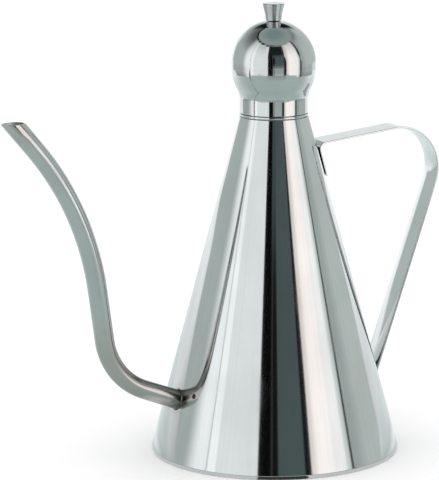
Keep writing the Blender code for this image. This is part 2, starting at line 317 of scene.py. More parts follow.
def rounded(
    corners: Sequence[Point], radii: Sequence[float], closed: bool = False, step: float = 4.0
) -> list[Point]:
    """Rounds the corners of a line.

    Args:
        corners: Corner points in order.
        radii: A radius for each corner, of which 0 keeps it sharp. An open line's ends stay.
        closed: Whether the line runs back to its first point.
        step: Widest angle between neighbouring points of a bend, in degrees.

    Returns:
        The points of the rounded line.
    """
    points: list[Point] = []
    count = len(corners)
    for i, (corner, radius) in enumerate(zip(corners, radii)):
        end = not closed and i in (0, count - 1)
        if end or radius <= 0:
            points.append(tuple(corner))
            continue
        middle = Vector(corner)
        back = (Vector(corners[i - 1]) - middle).normalized()
        ahead = (Vector(corners[(i + 1) % count]) - middle).normalized()
        turn = math.pi - back.angle(ahead)
        centre = middle + (back + ahead).normalized() * radius / math.cos(turn / 2)
        spoke = middle + back * radius * math.tan(turn / 2) - centre
        steps = max(2, math.ceil(math.degrees(turn) / step))
        for k in range(steps + 1):
            angle = turn * k / steps
            spot = centre + spoke * math.cos(angle) - back * radius * math.sin(angle)
            points.append((spot.x, spot.y))
    return points


def supported(
    points: Sequence[Point], closed: bool, longest: float = 6 * MM, margin: float = 0.12 * MM
) -> list[Point]:
    """Adds points to long straight stretches, so that smooth shading keeps them straight.

    Args:
        points: The line.
        closed: Whether it runs back to its first point.
        longest: Longest stretch that is left whole.
        margin: Distance from each end of a stretch to its first added point.

    Returns:
        The line with its added points.
    """
    result: list[Point] = []
    ends = list(points[1:]) + ([points[0]] if closed else [])
    for start, end in zip(points, ends):
        result.append(start)
        first, last = Vector(start), Vector(end)
        length = (last - first).length
        if length > 4 * margin:
            count = max(1, math.ceil(length / longest))
            runs = [margin] + [length * i / count for i in range(1, count)] + [length - margin]
            result += [tuple(first.lerp(last, run / length)) for run in runs]
    if not closed:
        result.append(points[-1])
    return result


def circle(radius: float, height: float, steps: int) -> list[Vector]:
    """A ring of points round the can's axis, or the one point of a tip."""
    turns = [math.tau * i / steps for i in range(steps if radius > TIP else 1)]
    return [Vector((radius * math.cos(t), radius * math.sin(t), height)) for t in turns]


def settle(name: str, shape: bmesh.types.BMesh) -> bpy.types.Object:
    """Makes an object of the scene.

    Args:
        name: Name of the object.
        shape: Its finished shape, which is freed.

    Returns:
        The object.
    """
    mesh = bpy.data.meshes.new(name)
    shape.to_mesh(mesh)
    shape.free()
    made = bpy.data.objects.new(name, mesh)
    bpy.context.scene.collection.objects.link(made)
    return made


def loft(
    name: str, rings: Sequence[Sequence[Vector]], loop: bool = False, caps: bool = False
) -> bpy.types.Object:
    """Skins a row of closed rings.

    Args:
        name: Name of the piece.
        rings: Rings of equally many points, or of one point where the skin closes to a tip.
        loop: Whether the last ring joins the first.
        caps: Whether the first and last rings are filled.

    Returns:
        The piece, smooth but for its sharp edges.
    """
    shape = bmesh.new()
    rows = [[shape.verts.new(point) for point in ring] for ring in rings]
    nexts = rows[1:] + ([rows[0]] if loop else [])
    for row, after in zip(rows, nexts):
        count = max(len(row), len(after))
        for i in range(count):
            j = (i + 1) % count
            corners = (
                row[i % len(row)],
                row[j % len(row)],
                after[j % len(after)],
                after[i % len(after)],
            )
            distinct = list(dict.fromkeys(corners))
            if len(distinct) > 2:
                shape.faces.new(distinct)
    if caps:
        shape.faces.new(rows[0])
        shape.faces.new(rows[-1])
    bmesh.ops.recalc_face_normals(shape, faces=shape.faces)
    made = settle(name, shape)
    made.data.shade_smooth()
    made.data.set_sharp_from_angle(angle=SHARP)
    return made


def turned(name: str, outline: Sequence[Point], steps: int, closed: bool = True) -> bpy.types.Object:
    """Turns an outline round the can's axis.

    Args:
        name: Name of the piece.
        outline: Points as (radius, height).
        steps: Number of steps round the axis.
        closed: Whether the outline runs back to its first point.

    Returns:
        The turned piece.
    """
    rings = [circle(radius, height, steps) for radius, height in supported(outline, closed)]
    return loft(name, rings, loop=closed)


def face_finish(
    piece: bpy.types.Object, finish: bpy.types.Material, chosen: Callable[[Vector, Vector], bool]
) -> None:
    """Gives some faces of a piece a second finish, and is called once the piece is dressed.

    Args:
        piece: The piece.
        finish: The second finish.
        chosen: Says of a face's centre and normal whether the face takes it.
    """
    piece.data.materials.append(finish)
    for face in piece.data.polygons:
        if chosen(face.center, face.normal):
            face.material_index = 1


def dress(
    piece: bpy.types.Object, node: str, body: str, finish: bpy.types.Material
) -> None:
    """Puts a finished piece in the place of its CAD node.

    Args:
        piece: The piece, in place.
        node: CAD node that it stands for.
        body: Body that it moves with.
        finish: Its material.
    """
    piece.data.materials.append(finish)
    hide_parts(node)
    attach(piece, body)
    log.info("%s: %d faces for %s", piece.name, len(piece.data.polygons), node)


# The can


@dataclass
class Body:
    """The conical body with its base and the collar on its top."""

    base_radius: float = 51.0 * MM
    height: float = 140.0 * MM
    sheet: float = 0.8 * MM
    foot_edge: float = 1.5 * MM
    lip: float = 4.0 * MM
    pan_overlap: float = 2.6 * MM
    groove_radius: float = 33.0 * MM
    groove_width: float = 6.0 * MM
    groove_rise: float = 1.2 * MM
    neck_radius: float = 13.1 * MM
    neck_rise: float = 7.5 * MM
    neck_depth: float = 5.5 * MM
    flange: float = 0.9 * MM
    under_flange: float = 0.08 * MM
    over_flange: float = 0.18 * MM
    fit: float = 0.3 * MM
    top_radius: float = field(init=False)
    slope: float = field(init=False)

    def __post_init__(self) -> None:
        """Works out the cone's top radius and how much it widens downward."""
        lean = (self.base_radius - self.neck_radius - self.fit - self.sheet) / self.height
        self.top_radius = self.neck_radius + self.fit + self.sheet * math.hypot(1, lean)
        across = self.base_radius - self.foot_edge - self.top_radius
        down = self.height - self.foot_edge
        angle = math.atan2(down, across) - math.asin(self.foot_edge / math.hypot(across, down))
        self.slope = 1 / math.tan(angle)

    def radius(self, height: float) -> float:
        """Outer radius of the cone at a height."""
        return self.top_radius + (self.height - height) * self.slope

    def cone(self) -> bpy.types.Object:
        """Builds the conical sheet with its rounded foot and turned-in lip.

        Returns:
            The sheet.
        """
        wall = self.sheet * math.hypot(1, self.slope)
        lip_end = self.base_radius - self.foot_edge - self.lip
        corners = [
            (self.radius(self.height), self.height),
            (self.radius(0), 0),
            (lip_end, 0),
            (lip_end, self.sheet),
            (self.radius(self.sheet) - wall, self.sheet),
            (self.radius(self.height) - wall, self.height),
        ]
        rim, lip, fold = 0.15 * MM, 0.2 * MM, 0.7 * MM
        radii = [rim, self.foot_edge, lip, lip, fold, rim]
        return turned("cone_wall", rounded(corners, radii, closed=True), steps=288)

    def base(self) -> bpy.types.Object:
        """Builds the pressed base with its raised ring.

        Returns:
            The base.
        """
        step = self.base_radius - self.foot_edge - self.lip - self.fit
        rim = step + self.fit + self.pan_overlap
        seat = self.sheet + self.fit
        corners = [
            (0, 0),
            *self.groove(0, 0),
            (step, 0),
            (step, seat),
            (rim, seat),
            (rim, seat + self.sheet),
            (step - self.sheet, seat + self.sheet),
            (step - self.sheet, self.sheet),
            *self.groove(self.sheet / 2, self.sheet)[::-1],
            (0, self.sheet),
        ]
        soft, tight = [1.2 * MM] * 4, [0.25 * MM] * 6
        outline = rounded(corners, [0, *soft, *tight, *soft, 0])
        return turned("pressed_base", outline, steps=192, closed=False)

    def groove(self, wider: float, height: float) -> list[Point]:
        """Outline of the base's raised ring.

        Args:
            wider: How much wider it is on each side than the ring's underside.
            height: Height of the flat sheet beside it.

        Returns:
            Its four corners from the middle of the base outward.
        """
        crest, foot = self.groove_width / 6 + wider, self.groove_width / 2 + wider
        top = height + self.groove_rise
        across = [(-foot, height), (-crest, top), (crest, top), (foot, height)]
        return [(self.groove_radius + x, y) for x, y in across]

    def neck(self) -> bpy.types.Object:
        """Builds the collar: the flange that shows, and the tube under the lid.

        Returns:
            The collar.
        """
        bore = self.neck_radius - self.sheet
        seat = self.height + self.fit + self.flange
        low, high = self.height + self.under_flange, seat + self.fit - self.over_flange
        top = seat + self.neck_rise
        foot = self.height + self.fit - self.neck_depth
        corners = [
            (bore, top),
            (self.neck_radius, top),
            (self.neck_radius, high),
            (self.top_radius, high),
            (self.top_radius, low),
            (self.neck_radius, low),
            (self.neck_radius, foot),
            (bore, foot),
        ]
        mouth, crease, edge, foot_bend = mm(0.2, 0.3), 0.05 * MM, 0.45 * MM, 0.1 * MM
        radii = [*mouth, crease, edge, edge, crease, foot_bend, foot_bend]
        return turned("neck_collar_ring", rounded(corners, radii, closed=True, step=9.0), steps=192)

    def build(self) -> None:
        """Builds and dresses the three pieces."""
        weld = HeatTintAndShade(mm(-44.6, 0, 25.6), 8.5 * MM, strength=0.4)
        burn = HeatTintAndShade(mm(-43.9, -6.2, 25.9), 3.4 * MM, OxideAndShade.BURNT, 0.8, 0.9)
        spatter = HeatTintAndShade(mm(-42.1, -11.3, 29.1), 1.3 * MM, OxideAndShade.SPATTER, 0.95, 0.25)
        spun = Steel(grain=Grain.ROUND, tints=(weld, burn, spatter)).material("spun_steel")
        pressed = Steel(roughness=0.22, grain=Grain.ROUND, colour=(0.62, 0.625, 0.62))
        collar = Steel(roughness=0.09, grain=Grain.ROUND, wave_depth=0.0).material("neck_steel")
        dress(self.cone(), "body_cone", "can", spun)
        dress(self.base(), "base_pan", "can", pressed.material("pressed_steel"))
        dress(self.neck(), "neck_collar", "can", collar)


@dataclass
class Spout:
    """The swan-neck spout and the weld at its root.

    The points of its lip are (below the cut, into the wall), and the ripples of its weld are
    (height, waves, first angle).
    """

    body: Body
    radius: float = 4.0 * MM
    wall: float = 0.6 * MM
    root_height: float = 25.6 * MM
    root_leg: Point = mm(29.7, 12.05)
    riser_leg: Point = mm(9.3, 70.35)
    tip_leg: Point = mm(30.7, 37.3)
    elbow_bend: float = 28.0 * MM
    knee_bend: float = 118.0 * MM
    inset: float = 2.5 * MM
    lip: tuple[Point, ...] = (mm(0.16, 0), mm(0.05, 0.05), mm(0, 0.16))
    sides: int = 56
    weld_leg: float = 0.5 * MM
    weld_steps: int = 192
    ripples: tuple[tuple[float, int, float], ...] = ((0.05, 23, 0.6), (0.04, 41, 2.1), (0.08, 5, 1.0))

    @staticmethod
    def place(spot: Vector) -> Vector:
        """The place in space of a spot that is given as (outward, upward)."""
        return Vector((-spot.x, 0, spot.y))

    def root(self) -> Vector:
        """Where the spout's axis meets the cone, as (outward, upward)."""
        return Vector((self.body.radius(self.root_height), self.root_height))

    def route(self) -> list[Vector]:
        """The spout's axis as (outward, upward), from inside the cone to the middle of its mouth.

        Returns:
            Its points.
        """
        root, leg = self.root(), Vector(self.root_leg)
        elbow = root + leg
        knee = elbow + Vector(self.riser_leg)
        tip = knee + Vector(self.tip_leg)
        start = root - leg.normalized() * self.inset
        corners = [tuple(start), tuple(elbow), tuple(knee), tuple(tip)]
        line = rounded(corners, [0, self.elbow_bend, self.knee_bend, 0], step=2.0)
        return [Vector(point) for point in line]

    def tube(self) -> bpy.types.Object:
        """Builds the tube, whose mouth is cut level.

        Returns:
            The tube.
        """
        line = self.route()
        level = line[-1].y
        heading = (line[-1] - line[-2]).normalized()
        run = self.place(heading)
        skins: list[list[list[Vector]]] = []
        for radius, side in ((self.radius, -1), (self.radius - self.wall, 1)):
            skin = []
            for i, spot in enumerate(line[:-1]):
                ahead = (line[i + 1] - line[max(i - 1, 0)]).normalized()
                skin.append(self.ring(spot, ahead, radius))
            skin.append(self.ring(line[-1] - heading * 2 * self.radius, heading, radius))
            for short, inset in self.lip:
                end = self.ring(line[-1], heading, radius + side * inset)
                skin.append([p + run * ((level - short - p.z) / run.z) for p in end])
            skins.append(skin)
        return loft("spout_bent_tube", skins[0] + skins[1][::-1], loop=True)

    def ring(self, spot: Vector, heading: Vector, radius: float) -> list[Vector]:
        """A ring of points square to the spout's route.

        Args:
            spot: Its centre, as (outward, upward).
            heading: Direction of the route there.
            radius: Its radius.

        Returns:
            The points in space.
        """
        across, side = Vector((heading.y, 0, heading.x)), Vector((0, 1, 0))
        turns = [math.tau * i / self.sides for i in range(self.sides)]
        spokes = [across * math.cos(t) + side * math.sin(t) for t in turns]
        return [self.place(spot) + spoke * radius for spoke in spokes]

    def bead(self) -> bpy.types.Object:
        """Builds the uneven weld bead where the tube meets the cone.

        Returns:
            The bead.
        """
        leg = Vector(self.root_leg).normalized()
        axis, centre = self.place(leg), self.place(self.root())
        across, side = Vector((leg.y, 0, leg.x)), Vector((0, 1, 0))
        inner, sunk, toe = self.radius - 0.1 * MM, -0.4 * MM, 0.02 * MM
        rings: list[list[Vector]] = []
        for i in range(self.weld_steps):
            turn = math.tau * i / self.weld_steps
            out = across * math.cos(turn) + side * math.sin(turn)
            ripple = sum(high * math.sin(waves * turn + first) for high, waves, first in self.ripples)
            foot = self.weld_leg * (1 + ripple)
            rise = self.weld_leg * (0.8 + 0.7 * ripple)
            section: list[Point] = [(inner, sunk), (inner, rise)]
            for t in (k / 8 for k in range(9)):
                swell = math.sin(math.pi * t) * 0.12 * foot
                section.append((self.radius + foot * t + swell * 0.6, rise * (1 - t) ** 1.4 + swell))
            section.append((self.radius + foot + toe, sunk))
            spots = [(centre + out * reach, lift) for reach, lift in section]
            rings.append([spot + axis * (self.to_cone(spot, axis) + lift) for spot, lift in spots])
        return loft("spout_weld_bead", rings, loop=True)

    def in_bore(self, centre: Vector, normal: Vector) -> bool:
        """Whether a face of the tube looks towards the spout's axis."""
        ways = [self.place(spot) - centre for spot in self.route()]
        return normal.dot(min(ways, key=lambda way: way.length).normalized()) > 0.5

    def to_cone(self, spot: Vector, axis: Vector) -> float:
        """How far a spot has to move to lie on the cone.

        Args:
            spot: The spot.
            axis: Direction that it moves in.

        Returns:
            The distance.
        """
        run = 0.0
        for _ in range(12):
            here = spot + axis * run
            miss = math.hypot(here.x, here.y) - self.body.radius(here.z)
            slope = (here.x * axis.x + here.y * axis.y) / math.hypot(here.x, here.y)
            run -= miss / (slope + self.body.slope * axis.z)
        return run

    def build(self) -> None:
        """Builds and dresses the tube and its weld."""
        root = self.place(self.root())
        elbow = self.place(self.root() + Vector(self.root_leg) * 0.8)
        lip = self.place(self.route()[-1]) + Vector(mm(5, 0, -2))
        spread = HeatTintAndShade(elbow, 34 * MM, OxideAndShade.PALE_STRAW, ragged=0.5)
        stain = HeatTintAndShade(root, 11 * MM, OxideAndShade.BROWN)
        soot = HeatTintAndShade(root, 6.2 * MM, OxideAndShade.SOOT, 0.85, 0.6)
        slag = HeatTintAndShade(root, 14 * MM, OxideAndShade.SLAG, 0.9, 0.9)
        mouth = HeatTintAndShade(lip, 11 * MM, OxideAndShade.DUN, 0.5)
        tints = (spread, stain, soot, mouth)
        drawn = Steel(roughness=0.15, colour=(0.68, 0.69, 0.685), tints=tints)
        bore = Steel(roughness=0.5, colour=(0.78, 0.78, 0.77), wave_depth=0.0)
        weld = Steel(
            roughness=0.3,
            colour=(0.34, 0.33, 0.32),
            grain_depth=0.002 * MM,
            wave_width=2 * MM,
            wave_depth=0.03 * MM,
            tints=(slag,),
        )
        tube = self.tube()
        dress(tube, "spout_tube", "can", drawn.material("drawn_tube_steel"))
        face_finish(tube, bore.material("bore_steel"), self.in_bore)
        dress(self.bead(), "spout_weld", "can", weld.material("weld_steel"))


@dataclass
class Handle:
    """The strip handle, with a tab at each end that lies on the cone."""

    body: Body
    width: float = 11.5 * MM
    thickness: float = 1.4 * MM
    drop: float = 12.8 * MM
    top_leg: Point = mm(63.5, 6.7)
    foot_height: float = 28.3 * MM
    tab: float = 13.5 * MM
    bends: tuple[float, ...] = mm(2.2, 17.8, 4.0)
    edge: float = 0.34 * MM
    crown: float = 0.68 * MM
    gap: float = 0.1 * MM

    def route(self) -> list[Vector]:
        """The middle of the strip as (outward, upward), from tab end to tab end.

        Returns:
            Its points.
        """
        wall = Vector((self.body.slope, -1)).normalized()
        stand = (self.gap + self.thickness / 2) * math.hypot(1, self.body.slope)
        high, low = self.body.height - self.drop, self.foot_height
        top = Vector((self.body.radius(high) + stand, high))
        foot = Vector((self.body.radius(low) + stand, low))
        corner = top + Vector(self.top_leg)
        corners = [top + wall * self.tab, top, corner, foot, foot + wall * self.tab]
        line = rounded([tuple(c) for c in corners], [0, *self.bends, 0], step=3.0)
        return [Vector(point) for point in supported(line, False, margin=0.2 * MM)]

    def strip(self) -> bpy.types.Object:
        """Builds the strip, with softened edges and a slightly rounded inner face.

        Returns:
            The strip.
        """
        line = self.route()
        half, thick = self.width / 2, self.thickness / 2
        corners = [(-half, -thick), (half, -thick), (half, thick), (-half, thick)]
        outline = rounded(corners, [self.edge] * 4, closed=True, step=22.0)
        section = [
            (side, self.crowned(side, lift, half, thick))
            for side, lift in supported(outline, True, 0.3 * MM, 0.1 * MM)
        ]
        rings: list[list[Vector]] = []
        last = len(line) - 1
        for i, spot in enumerate(line):
            ahead = (line[min(i + 1, last)] - line[max(i - 1, 0)]).normalized()
            out = Vector((ahead.y, 0, -ahead.x))
            centre = Vector((spot.x, 0, spot.y))
            rings.append([centre + Vector((0, side, 0)) + out * lift for side, lift in section])
        return loft("handle_strip", rings, caps=True)

    def crowned(self, side: float, lift: float, half: float, thick: float) -> float:
        """Thins the strip on its inner side, from the middle to the edges.

        Args:
            side: Place across the strip.
            lift: Height over its middle there, towards the inside of the loop.
            half: Half of the strip's width.
            thick: Half of its thickness.

        Returns:
            The height after the thinning.
        """
        return lift - self.crown * (side / half) ** 2 * (thick + lift) / (2 * thick)

    def build(self) -> None:
        """Builds and dresses the strip."""
        pale, slight = (0.81, 0.82, 0.815), 0.003 * MM
        rolled = Steel(roughness=0.11, grain=Grain.STRIP, colour=pale, wave_depth=slight)
        dress(self.strip(), "handle_strap", "can", rolled.material("strip_steel"))


@dataclass
class Lid:
    """The ball-shaped lid with its knob."""

    body: Body
    ball: float = 17.35 * MM
    band: float = 2.2 * MM
    rise: float = 18.1 * MM
    fillet: float = 8.0 * MM
    seam: float = 0.01 * MM
    edge: float = 0.2 * MM
    hole: float = 1.8 * MM
    spigot: float = 2.2 * MM
    seat_radius: float = 3.6 * MM
    knob_foot: float = 3.2 * MM
    knob_top: float = 4.5 * MM
    knob_height: float = 7.0 * MM
    knob_dish: float = 0.4 * MM
    low: float = field(init=False)
    skirt: float = field(init=False)
    low_centre: float = field(init=False)
    top_centre: float = field(init=False)
    seat: float = field(init=False)

    def __post_init__(self) -> None:
        """Works out the heights of the lid's parts."""
        body = self.body
        self.low = body.height + 2 * body.fit + body.flange
        self.skirt = body.neck_radius + body.fit + body.sheet
        self.low_centre = self.low + self.rise
        self.top_centre = self.low_centre + self.band
        self.seat = self.top_centre + math.sqrt(self.ball**2 - self.seat_radius**2)

    def lower(self) -> bpy.types.Object:
        """Builds the lower half ball and the sleeve under it.

        Returns:
            The lower half.
        """
        join = self.low_centre + self.band / 2 - self.seam
        outline: list[Point] = []
        for inset in (0.0, self.body.sheet):
            ball, bend, sleeve = self.ball - inset, self.fillet + inset, self.skirt - inset
            across = self.skirt + self.fillet
            drop = math.sqrt((ball + bend) ** 2 - across**2)
            meet = math.degrees(math.atan2(drop, across))
            line = [(ball, join), *arc((0, self.low_centre), ball, 0, -meet)]
            line += arc((across, self.low_centre - drop), bend, 180 - meet, 180)[1:]
            line += [(sleeve, self.low + self.edge)]
            line += [(sleeve + (self.edge if inset else -self.edge), self.low)]
            outline += line[::-1] if inset else line
        return turned("lid_ball_lower", outline, steps=240)

    def upper(self) -> bpy.types.Object:
        """Builds the upper half ball with the flat seat for the knob.

        Returns:
            The upper half.
        """
        sheet, join = self.body.sheet, self.low_centre + self.band / 2 + self.seam
        centre, inner = (0, self.top_centre), self.ball - sheet
        tilt = math.degrees(math.acos(self.seat_radius / self.ball))
        flat = math.degrees(math.asin((self.seat - sheet - self.top_centre) / inner))
        outline = [(self.hole, self.seat), *arc(centre, self.ball, tilt, 0), (self.ball, join)]
        outline += [(inner, join), *arc(centre, inner, 0, flat), (self.hole, self.seat - sheet)]
        return turned("lid_ball_upper", outline, steps=240)

    def knob(self) -> bpy.types.Object:
        """Builds the turned knob with its dished top and the hole for its screw.

        Returns:
            The knob.
        """
        foot, bottom = self.seat + self.body.fit, self.seat + 0.02 * MM
        top, roof = foot + self.knob_height, foot + 4.9 * MM
        corners = [
            (0, top - self.knob_dish),
            (self.knob_top * 0.45, top - self.knob_dish * 0.8),
            (self.knob_top - 0.35 * MM, top),
            (self.knob_top, top - 0.45 * MM),
            (self.knob_foot + 0.25 * MM, foot + 2.2 * MM),
            (self.knob_foot, foot),
            (self.spigot, foot),
            (self.spigot, bottom),
            (self.hole, bottom),
            (self.hole, roof),
            (0, roof),
        ]
        radii = mm(0, 6, 0.3, 0.3, 7, 0.2, 0, 0, 0, 0, 0)
        return turned("lid_knob", rounded(corners, radii, step=6.0), steps=128, closed=False)

    def washer(self) -> bpy.types.Object:
        """Builds the washer under the roof of the ball.

        Returns:
            The washer.
        """
        top = self.seat - self.body.sheet - 0.03 * MM
        low, rim = top - 0.5 * MM, 3.5 * MM
        corners = [(self.hole, low), (rim, low), (rim, top), (self.hole, top)]
        outline = rounded(corners, mm(0.1, 0.15, 0.05, 0.05), closed=True, step=30.0)
        return turned("knob_lock_washer", outline, steps=96)

    def screw(self) -> bpy.types.Object:
        """Builds the slotted screw, whose head is inside the ball and whose thread is in the knob.

        Returns:
            The screw.
        """
        seat, tip = self.seat - self.body.sheet - 0.55 * MM, self.seat + 4.8 * MM
        head, edge = seat - 1.8 * MM, seat - 0.3 * MM
        rim, core, crest, point, pitch, lead_in = mm(2.8, 1.2, 1.5, 0.7, 0.5, 0.6)
        steps, rows = 48, 6
        squash = (edge - head) / rim
        dome = [(x, edge + (y - edge) * squash) for x, y in arc((0, edge), rim, -90, 0, 10.0)[1:]]
        levels = [(0.0, head), *dome, (rim, seat), (core, seat)]
        rings = [circle(radius, height, steps) for radius, height in levels]
        spokes = circle(1.0, 0.0, steps)
        count = round((tip - lead_in - seat) / pitch * rows)
        for k in range(1, count + 1):
            level = Vector((0, 0, seat + k * pitch / rows))
            depth = (crest - core) * min(1.0, k / rows, (count - k) / rows)
            phases = [(k / rows - i / steps) % 1.0 for i in range(steps)]
            radii = [core + depth * (1 - abs(2 * phase - 1)) for phase in phases]
            rings.append([spoke * radius + level for spoke, radius in zip(spokes, radii)])
        rings += [circle(point, tip, steps), circle(0.0, tip, steps)]
        screw = loft("knob_slotted_screw", rings)
        cutter = loft("slot_cutter", self.slot_box(head))
        cut = screw.modifiers.new("slot", "BOOLEAN")
        cut.object, cut.operation, cut.solver = cutter, "DIFFERENCE", "EXACT"
        view = bpy.context.evaluated_depsgraph_get()
        mesh = bpy.data.meshes.new_from_object(screw.evaluated_get(view))
        screw.modifiers.clear()
        screw.data = mesh
        bpy.data.objects.remove(cutter)
        return screw

    def slot_box(self, head: float) -> list[list[Vector]]:
        """Rings of a bar that cuts the driver's slot into the screw's head.

        Args:
            head: Height of the head's lowest point.

        Returns:
            The bar's two ends and the tips that close it.
        """
        half, below, depth, reach = mm(0.35, 1, 0.8, 4)
        low, high = head - below, head + depth
        section = [(-half, low), (half, low), (half, high), (-half, high)]
        ends = [[Vector((x, y, z)) for y, z in section] for x in (-reach, reach)]
        middle = (low + high) / 2
        return [[Vector((-reach, 0, middle))], *ends, [Vector((reach, 0, middle))]]

    def build(self) -> None:
        """Builds and dresses the lid."""
        shell = Steel(grain=Grain.ROUND, wave_depth=0.003 * MM).material("lid_steel")
        dress(self.lower(), "lid_skirt", "lid", shell)
        dress(self.upper(), "lid_dome", "lid", shell)
        # Painted shadow: the knob's spigot and underside turn near black, standing in for the shaded
        # gap over the ball's seat
        gap = HeatTintAndShade((0, 0, self.seat), 2.8 * MM, OxideAndShade.SHADOW, 1.0, 0.05)
        brushed = Steel(roughness=0.36, grain=Grain.ROUND, wave_depth=0.0, drag=1.0, tints=(gap,))
        knob = self.knob()
        dress(knob, "knob", "lid", brushed.material("knob_steel"))
        face = Steel(roughness=0.1, colour=(0.9, 0.9, 0.9), grain=Grain.ROUND, wave_depth=0.0)
        face_finish(knob, face.material("knob_face_steel"), self.on_top)
        plated = Steel(roughness=0.3, colour=(0.5, 0.5, 0.5), wave_depth=0.0)
        plain = plated.material("fastener_steel")
        dress(self.screw(), "knob_screw", "lid", plain)
        dress(self.washer(), "knob_washer", "lid", plain)

    def on_top(self, centre: Vector, normal: Vector) -> bool:
        """Whether a face belongs to the knob's dished top."""
        return centre.z > self.seat + self.knob_height - self.knob_dish and normal.z > 0.8


# The studio


class Tint(Enum):
    """Casts of the studio's surfaces."""

    PLAIN = (1.0, 1.0, 1.0)
    COOL = (0.95, 1.0, 1.01)
    GREEN = (0.88, 1.0, 0.975)
    SLATE = (0.74, 1.0, 1.03)
    WARM = (1.06, 0.99, 0.96)

    def at(self, level: float) -> Colour:
        """The cast at a brightness, where 1 is white."""
        return tuple(channel * level for channel in self.value)


@dataclass(frozen=True)
class Zone:
    """A stretch of the studio's wall, up to the next one on the right, in degrees.

    Its edge is soft on both sides of its start, and may lean leftward with height.
    """

    start: float
    soft: float
    colour: Colour
    lean: float = 0.0


@dataclass(frozen=True)
class Patch:
    """A patch on the studio's wall, in degrees.

    Each of its edges is given by where the patch begins to show and where it is full. Where it has
    a middle, its bearings are counted from there to both sides.
    """

    colour: Colour
    bearings: tuple[Point, ...]
    heights: tuple[Point, ...]
    strength: float = 1.0
    middle: float | None = None

    def over(self, net: Net, azimuth: Wire, elevation: Wire, wall: Wire) -> Wire:
        """Paints the patch over the wall.

        Args:
            net: The world's tree.
            azimuth: Bearing from the camera, rightward.
            elevation: Height over the horizon.
            wall: Colour under the patch.

        Returns:
            The wall's colour with the patch.
        """
        bearing = azimuth if self.middle is None else abs(azimuth - self.middle)
        mask: Value = self.strength
        for value, edges in ((bearing, self.bearings), (elevation, self.heights)):
            for start, full in edges:
                mask = net.ramp(value, start, full) * mask
        return net.mix(mask, wall, self.colour)


